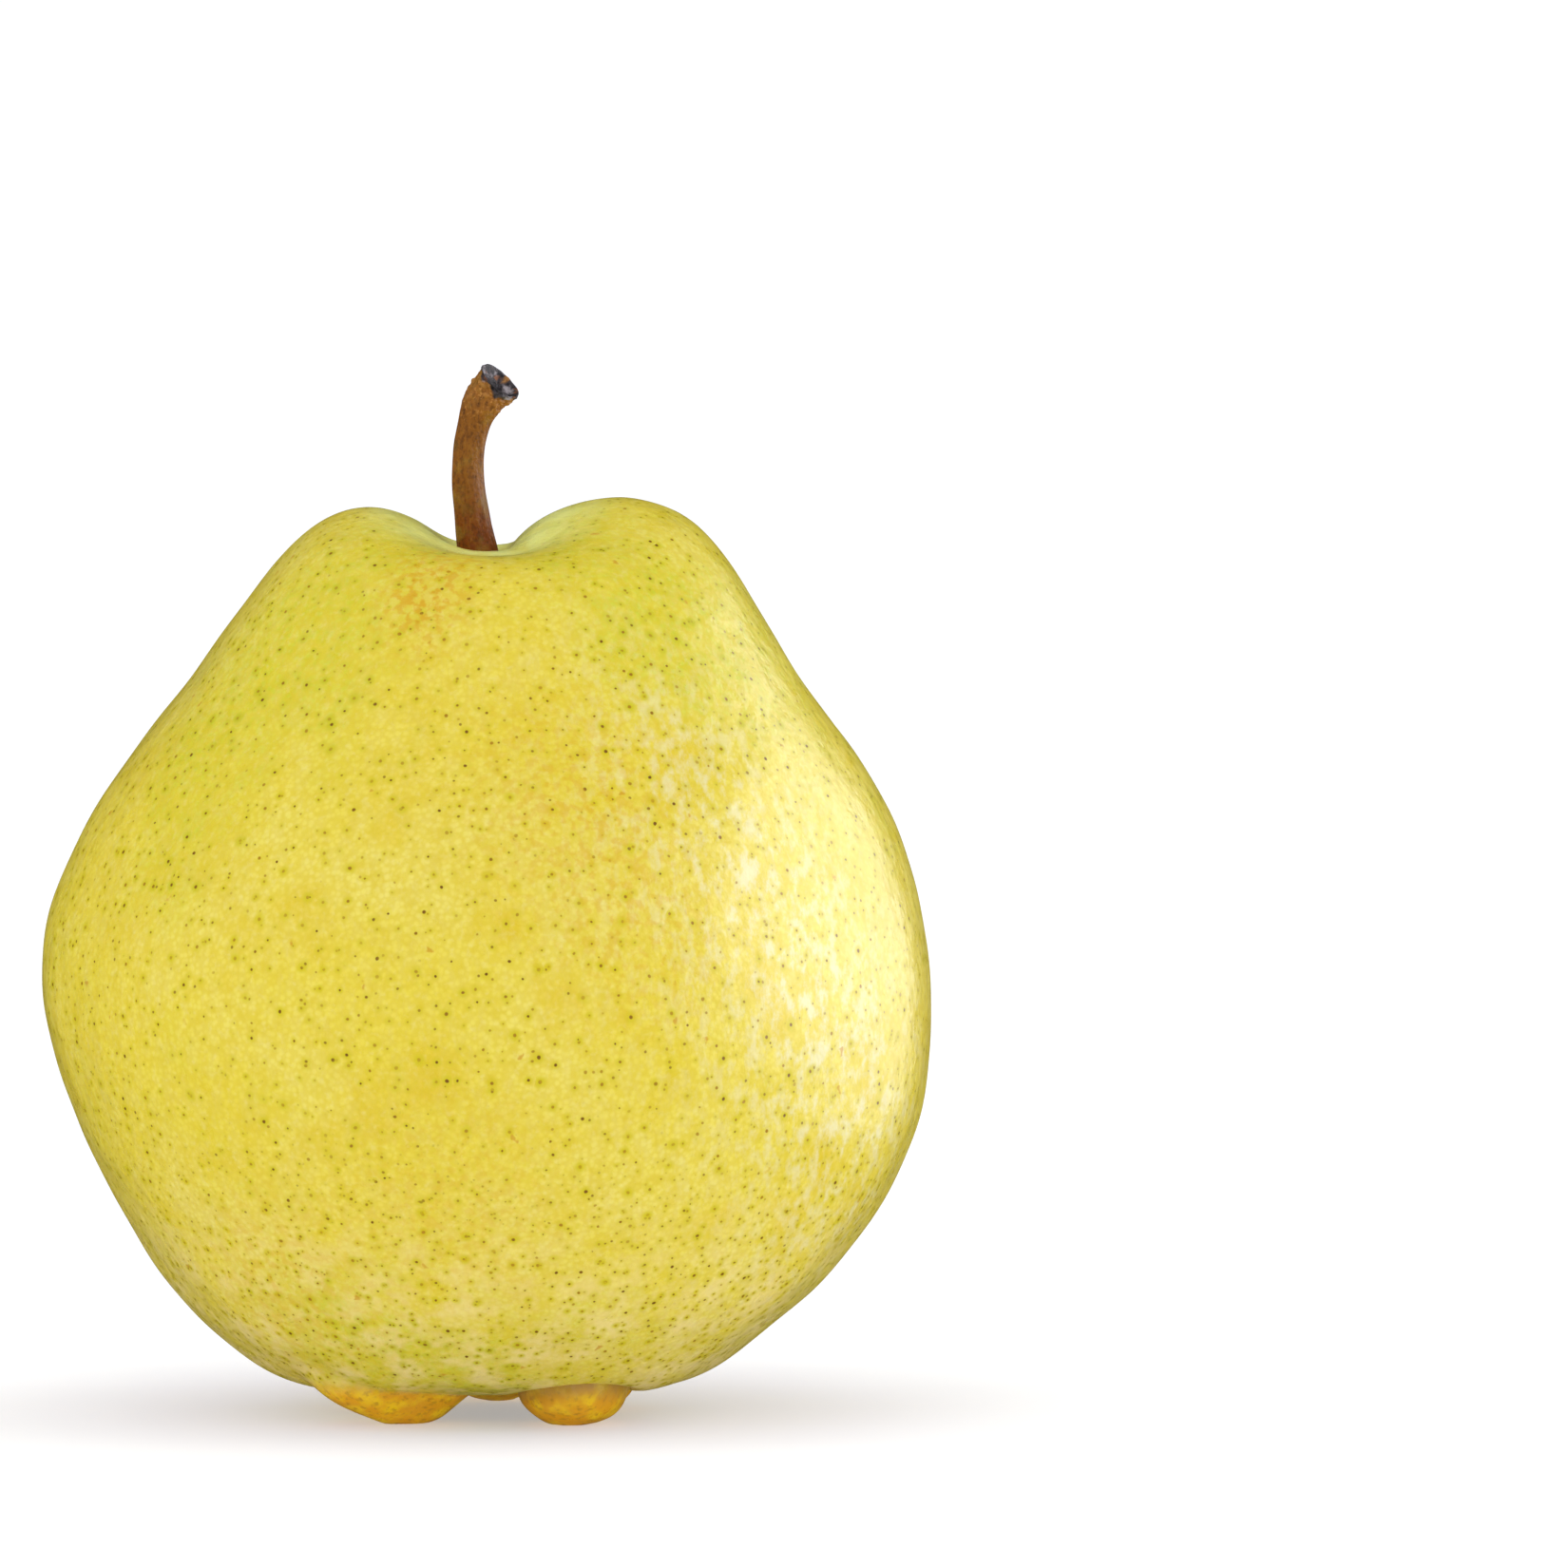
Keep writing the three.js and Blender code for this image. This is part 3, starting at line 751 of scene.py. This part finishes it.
def stem_material():
    n = Nodes("woody stem")
    foot, shaft, head = (0.2, 0.042, 0.0), (0.25, 0.085, 0.002), (0.3, 0.105, 0.008)
    dry, crack, pore = (0.38, 0.18, 0.02), (0.07, 0.018, 0.0), (0.06, 0.016, 0.0)
    olive, straw = (0.2, 0.11, 0.01), (0.34, 0.2, 0.02)
    rusty, corky = (0.55, 0.24, 0.05), (0.55, 0.27, 0.07)
    along = n.field("along")
    fibres = n.noise(0.6, 4, stretch=(1.3, 1.3, 0.5), rough=0.65)
    color = n.mix(n.step(along, 0.3, 0.55), foot, shaft)
    color = n.mix(n.step(along, 0.72, 0.9), color, head)
    color = n.mix(n.step(fibres, 0.5, 0.75, 0, 0.4), color, dry)
    color = n.mix(n.step(fibres, 0.5, 0.28, 0, 0.6), color, crack)
    pores = n.noise(0.3, 3, stretch=(1, 1, 0.7))
    color = n.mix(n.step(pores, 0.52, 0.34, 0, 0.45), color, pore)
    color = n.mix(n.step(n.noise(2.6, 3), 0.52, 0.7, 0, 0.5), color, olive)
    color = n.mix(n.step(n.noise(1.8, 3), 0.5, 0.7, 0, 0.4), color, straw)
    grit = n.step(n.noise(0.35, 3, rough=0.7), 0.54, 0.66)
    rough_head = n.math("MULTIPLY", n.step(along, 0.6, 0.9), grit)
    color = n.mix(n.math("MULTIPLY", rough_head, 0.7), color, rusty)
    color = n.mix(n.math("MULTIPLY", n.field("wart"), 0.35), color, corky)

    # The broken end: nearly black, with grey and rust in it.
    black, charcoal = (0.012, 0.01, 0.014), (0.07, 0.055, 0.06)
    grey, rust = (0.34, 0.3, 0.32), (0.35, 0.1, 0.01)
    scar = n.mix(n.step(n.noise(0.6, 5, rough=0.65), 0.35, 0.6), black, charcoal)
    scar = n.mix(n.step(n.noise(1.2, 4), 0.55, 0.68), scar, grey)
    scar = n.mix(n.step(n.noise(0.9, 3), 0.58, 0.72, 0, 0.6), scar, rust)
    color = n.mix(n.field("scar"), color, scar)
    normal = n.bump(n.noise(0.3, 3), 0.11, n.bump(fibres, 0.14))
    roughness = n.step(fibres, 0.3, 0.7, 0.6, 0.38)
    return n.finish(color, roughness, normal, Specular_IOR_Level=0.25)


def dried_material():
    n = Nodes("dried flower")
    shadow, withered = (0.035, 0.018, 0.009), (0.2, 0.11, 0.05)
    grain = n.noise(0.5, 4, rough=0.65)
    color = n.mix(n.step(grain, 0.35, 0.7), shadow, withered)
    return n.finish(color, n.step(grain, 0.3, 0.7, 0.95, 0.7), n.bump(grain, 0.12))


def floor_material():
    n = Nodes("studio floor")
    darker, lighter, painted_shadow_blue = (0.77, 0.78, 0.86), (0.79, 0.8, 0.88), (0.54, 0.54, 0.82)
    color = n.mix(n.noise(220, 2), darker, lighter)

    # Painted shadow: the sheet is darker and bluer round the pear, which darkens the floor round
    # its foot and takes the yellow out of the light that the pear throws on it.
    near = n.step(n.vector("LENGTH", n.place, output=1), 14, 62, 1, 0)
    color = n.mix(near, color, painted_shadow_blue)
    roughness = n.step(n.noise(60, 3), 0.3, 0.7, 0.5, 0.6)
    return n.finish(
        color,
        roughness,
        Specular_IOR_Level=0.1,
        Emission_Color=(1, 0.995, 0.95, 1),
        Emission_Strength=0.36,
    )


# ---------------------------------------------------------------- camera, lights and floor


def aim(thing, target):
    thing.rotation_mode = "QUATERNION"
    thing.rotation_quaternion = (Vector(target) - thing.location).to_track_quat("-Z", "Y")


def make_camera():
    """A long lens a little above the pear's middle, which is left of the picture's centre."""
    elevation, lens, sensor = math.radians(5.0), 1200.0, 36.0
    view_width, right, up = 140.7 * MM, 26.8 * MM, 56.4 * MM
    data = bpy.data.cameras.new("camera")
    data.lens, data.sensor_width = lens, sensor
    data.clip_start, data.clip_end = 0.01, 20
    camera = bpy.data.objects.new("camera", data)
    bpy.context.scene.collection.objects.link(camera)
    target = Vector((right, 0, up / math.cos(elevation))) + Vector(centring) * MM
    back = Vector((0, -math.cos(elevation), math.sin(elevation)))
    camera.location = target + back * (view_width * lens / sensor)
    aim(camera, target)
    bpy.context.scene.camera = camera


def make_light(name, place, target, size, power, color, unseen_by=None):
    data = bpy.data.lights.new(name, "AREA")
    data.shape, data.size, data.size_y = "RECTANGLE", *size
    data.energy, data.color = power, color
    light = bpy.data.objects.new(name, data)
    light.location = place
    if unseen_by:
        setattr(light, unseen_by, False)
    bpy.context.scene.collection.objects.link(light)
    aim(light, target)


def make_lights():
    middle = (0, 0, BODY_HEIGHT / 2 * MM)
    make_light(
        "key_softbox",
        place=(0.68, 0.12, 0.24),
        target=middle,
        size=(0.75, 0.46),
        power=1.45,
        color=(0.98, 1, 1),
    )
    # Only gloss sees this panel: it is the soft highlight, and lights nothing.
    make_light(
        "gloss_panel",
        place=(0.66, 0.08, 0.13),
        target=middle,
        size=(1.1, 0.7),
        power=6.0,
        color=(0.9, 0.95, 1),
        unseen_by="visible_diffuse",
    )


def make_room():
    """The world: bright in front of the pear and dimmer behind it, nearly dark in the gloss, and
    white where the picture sees it."""
    bright_side, slope, level = (-0.42, -0.5, 0.7), 0.52, 0.77
    lost_in_gloss, backdrop = 0.95, 1.04
    world = bpy.data.worlds.new("studio")
    bpy.context.scene.world = world
    world.use_nodes = True
    tree = world.node_tree

    def put(kind, operation=None, *values):
        node = tree.nodes.new(kind)
        if operation:
            node.operation = operation
        for socket, value in zip(node.inputs, values):
            if isinstance(value, bpy.types.NodeSocket):
                tree.links.new(value, socket)
            else:
                socket.default_value = value
        return node.outputs

    ray = put("ShaderNodeLightPath")
    toward = put("ShaderNodeTexCoord")["Generated"]
    front = put("ShaderNodeVectorMath", "DOT_PRODUCT", toward, bright_side)["Value"]
    light = put("ShaderNodeMath", "MULTIPLY_ADD", front, slope, level)[0]
    dim = put("ShaderNodeMath", "MULTIPLY_ADD", ray["Is Glossy Ray"], -lost_in_gloss, 1.0)[0]
    room = put("ShaderNodeMath", "MULTIPLY", light, dim)[0]
    seen = put("ShaderNodeMath", "MULTIPLY", ray["Is Camera Ray"], backdrop)[0]
    strength = put("ShaderNodeMath", "MAXIMUM", room, seen)[0]
    background = tree.nodes["Background"]
    background.inputs["Color"].default_value = (1, 1, 1, 1)
    tree.links.new(strength, background.inputs["Strength"])


def make_floor():
    half = 6.0
    corners = [(-half, -half, 0), (half, -half, 0), (half, half, 0), (-half, half, 0)]
    mesh = bpy.data.meshes.new("studio_floor")
    mesh.from_pydata(corners, [], [(0, 1, 2, 3)])
    mesh.materials.append(floor_material())
    floor = bpy.data.objects.new("studio_floor", mesh)
    bpy.context.scene.collection.objects.link(floor)
    floor.visible_glossy = False


# ---------------------------------------------------------------- the picture


def outline_middle_x():
    """Halfway between the leftmost and the rightmost point of the outline, before centring."""
    reach, _, lean = spline(OUTLINE, np.linspace(0, 1, 2001)).T
    return ((lean + reach).max() + (lean - reach).min()) / 2


def place_piece(piece, material, node):
    piece.data.materials.append(material)
    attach(piece, "root")
    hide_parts(node)


# The CAD part was moved so that the middle of its box is over the origin: centring is that move.
centring = np.array([(fruit_low + fruit_high)[0] / 2 - outline_middle_x(), 0, 0])

make_camera()
make_lights()
make_room()
make_floor()
place_piece(make_fruit(), skin_material(), "fruit")
place_piece(make_stem(), stem_material(), "stem")
dried = dried_material()
for number in range(1, SEPAL_COUNT + 1):
    place_piece(make_sepal(number), dried, f"sepal_{number}")
place_piece(make_tuft(), dried, "stamen_tuft")

bpy.context.scene.view_settings.view_transform = "Standard"
